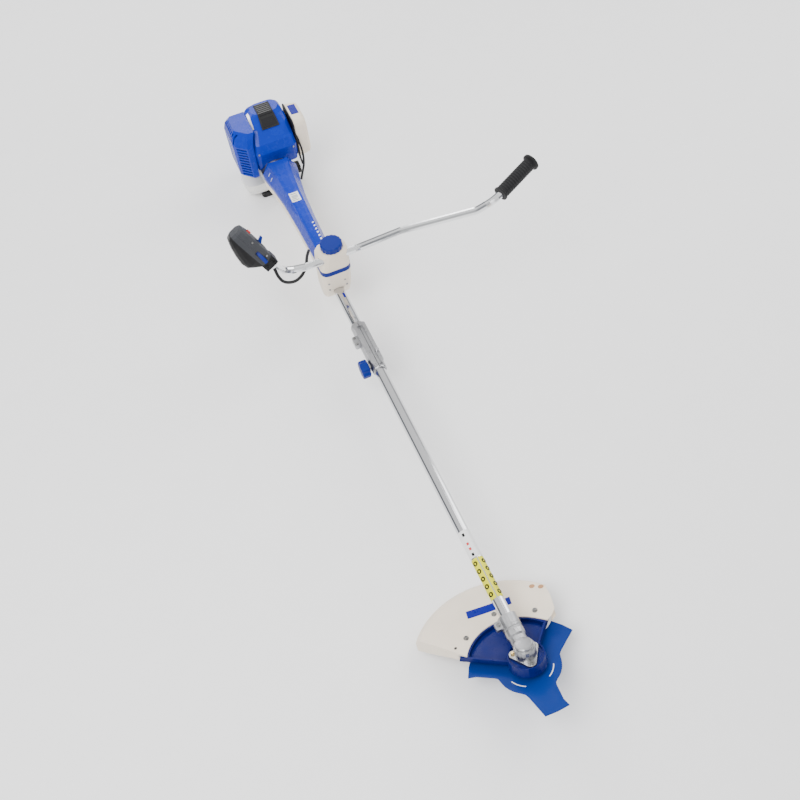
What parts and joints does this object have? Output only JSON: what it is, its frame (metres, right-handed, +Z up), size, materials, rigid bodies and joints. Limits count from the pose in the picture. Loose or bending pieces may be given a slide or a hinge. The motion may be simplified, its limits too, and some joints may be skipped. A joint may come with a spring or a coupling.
{
  "type": "brush cutter",
  "caption": "Petrol brush cutter: engine, padded arm, split tube shaft, bike handlebar with throttle grip, angled gear head, guard and toothed metal blade.",
  "frame": {"origin": "centre of the bounding box in plan, on the floor the machine stands on", "axes": "+Y along the drive tube from the blade to the engine, +Z up, +X towards the operator's left-hand grip"},
  "size_m": [0.7521, 1.9268, 0.442],
  "materials": {
    "black_plastic": "fine texture",
    "blue_guard": "satin moulded",
    "blue_knob": "satin moulded",
    "blue_paint": "smooth enamel",
    "blue_plastic": "glossy moulded",
    "brass": "turned",
    "cast_aluminium": "die cast",
    "cast_iron": "heat-darkened",
    "ceramic": "glazed",
    "chrome": "bright polished",
    "cream_plastic": "fine texture",
    "grey_plastic": "fine texture",
    "red_plastic": "smooth",
    "rubber": "matt",
    "steel": "machined",
    "tank_plastic": "translucent white"
  },
  "bodies": {
    "frame": {"upper_tube": "chrome", "coupling_sleeve": "cast_aluminium", "bracket_base": "cream_plastic", "bracket_cap": "cream_plastic", "bracket_stripe": "blue_knob", "arm_upper_shell": "blue_plastic", "arm_lower_shell": "cream_plastic", "throttle_cable": "rubber", "clutch_housing": "cast_aluminium", "crankcase": "cast_aluminium", "connecting_rod": "steel", "piston": "cast_aluminium", "cylinder": "cast_iron", "spark_plug": "ceramic", "plug_boot": "rubber", "engine_cover": "blue_plastic", "top_insert": "black_plastic", "muffler_guard": "blue_plastic", "muffler": "cast_iron", "carburettor": "cast_aluminium", "air_filter_base": "black_plastic", "air_filter_cover": "cream_plastic", "fuel_tank": "tank_plastic", "tank_stand": "black_plastic", "fan_housing": "black_plastic", "starter_housing": "blue_plastic"},
    "lower_unit": {"lower_tube": "chrome", "gearcase": "cast_aluminium", "gearcase_cap": "cast_aluminium", "grease_plug": "brass", "guard_base": "blue_guard", "guard_skirt": "cream_plastic"},
    "blade_rotor": {"output_shaft": "steel", "upper_clamp_plate": "steel", "blade": "blue_paint", "lower_clamp_plate": "steel", "blade_nut": "steel"},
    "lower_drive": {"bevel_pinion": "steel", "lower_drive_shaft": "steel"},
    "upper_drive": {"upper_drive_shaft": "steel", "clutch_drum": "steel"},
    "engine_rotor": {"crank_front": "steel", "crank_rear": "steel", "clutch_shoes": "steel", "flywheel": "cast_aluminium"},
    "starter_pull": {"starter_handle": "black_plastic"},
    "rope_pulley": {"starter_pulley": "black_plastic"},
    "handlebar_unit": {"handlebar": "chrome", "left_grip": "rubber", "throttle_shell_inner": "grey_plastic", "throttle_shell_outer": "rubber"},
    "trigger": {"throttle_trigger": "blue_knob"},
    "lockout": {"lockout_lever": "blue_knob"},
    "switch": {"stop_switch": "red_plastic"},
    "bar_knob": {"clamp_knob": "blue_knob"},
    "shaft_knob": {"coupling_knob": "blue_knob"},
    "shaft_pin": {"coupling_pin": "steel"},
    "choke": {"choke_lever": "black_plastic"},
    "tank_cap": {"fuel_cap": "black_plastic"},
    "primer": {"primer_bulb": "tank_plastic"}
  },
  "joints": [
    {"name": "lower_shaft_slide", "type": "slide", "parent": "frame", "child": "lower_unit", "axis": [0, -1, 0], "range_m": [0, 0.05]},
    {"name": "blade_spin", "type": "hinge", "parent": "lower_unit", "child": "blade_rotor", "pos_m": [-0.1428, -0.8326, 0.1152], "axis": [0, 0.3907, 0.9205], "continuous": true},
    {"name": "lower_drive_spin", "type": "hinge", "parent": "lower_unit", "child": "lower_drive", "pos_m": [-0.1428, -0.8326, 0.1152], "axis": [0, 1, 0], "continuous": true},
    {"name": "upper_drive_spin", "type": "hinge", "parent": "frame", "child": "upper_drive", "pos_m": [-0.1428, 0.7574, 0.1152], "axis": [0, 1, 0], "continuous": true},
    {"name": "crank_spin", "type": "hinge", "parent": "frame", "child": "engine_rotor", "pos_m": [-0.1428, 0.8174, 0.1152], "axis": [0, 1, 0], "continuous": true},
    {"name": "starter_pull_slide", "type": "slide", "parent": "frame", "child": "starter_pull", "axis": [1, 0, 0], "range_m": [0, 0.06], "stiffness_N_per_m": 80, "springref_m": -0.02},
    {"name": "pulley_spin", "type": "hinge", "parent": "frame", "child": "rope_pulley", "pos_m": [-0.1428, 0.9294, 0.1152], "axis": [0, 1, 0], "range_deg": [0, 110]},
    {"name": "handlebar_tilt", "type": "hinge", "parent": "frame", "child": "handlebar_unit", "pos_m": [-0.1428, 0.2554, 0.2452], "axis": [1, 0, 0], "range_deg": [-12, 12], "deforming": ["throttle_cable"]},
    {"name": "trigger_squeeze", "type": "hinge", "parent": "handlebar_unit", "child": "trigger", "pos_m": [-0.32115, 0.24703, 0.35959], "axis": [0.8908, 0.139, 0.4325], "range_deg": [0, 10], "stiffness_Nm_per_rad": 0.05, "springref_deg": -11.46},
    {"name": "lockout_press", "type": "hinge", "parent": "handlebar_unit", "child": "lockout", "pos_m": [-0.31005, 0.26632, 0.36405], "axis": [0, 0.952, -0.306], "range_deg": [-18, 0], "stiffness_Nm_per_rad": 0.05, "springref_deg": 11.46},
    {"name": "stop_switch_slide", "type": "slide", "parent": "handlebar_unit", "child": "switch", "axis": [-0.4543, 0.2726, 0.8481], "range_m": [0, 0.004]},
    {"name": "clamp_knob_turn", "type": "hinge", "parent": "frame", "child": "bar_knob", "pos_m": [-0.1358, 0.2674, 0.1152], "axis": [0, 0, 1], "continuous": true},
    {"name": "coupling_knob_turn", "type": "hinge", "parent": "frame", "child": "shaft_knob", "pos_m": [-0.1428, -0.0126, 0.1122], "axis": [1, 0, 0], "continuous": true},
    {"name": "coupling_pin_pull", "type": "slide", "parent": "frame", "child": "shaft_pin", "axis": [0, 0, 1], "range_m": [0, 0.004], "stiffness_N_per_m": 400, "springref_m": -0.002},
    {"name": "choke_turn", "type": "hinge", "parent": "frame", "child": "choke", "pos_m": [-0.0643, 0.7964, 0.1257], "axis": [1, 0, 0], "range_deg": [0, 40]},
    {"name": "fuel_cap_turn", "type": "hinge", "parent": "frame", "child": "tank_cap", "pos_m": [-0.1428, 0.8574, 0.0362], "axis": [1, 0, 0], "continuous": true},
    {"name": "primer_press", "type": "slide", "parent": "frame", "child": "primer", "axis": [0, 0, 1], "range_m": [0, 0.003], "stiffness_N_per_m": 300, "springref_m": -0.002}
  ],
  "couplings": [
    {"joint": "lower_drive_spin", "follows": "blade_spin", "ratio": -1.3333},
    {"joint": "upper_drive_spin", "follows": "blade_spin", "ratio": -1.3333},
    {"joint": "pulley_spin", "follows": "starter_pull_slide", "rad_per_m": 31.746}
  ]
}
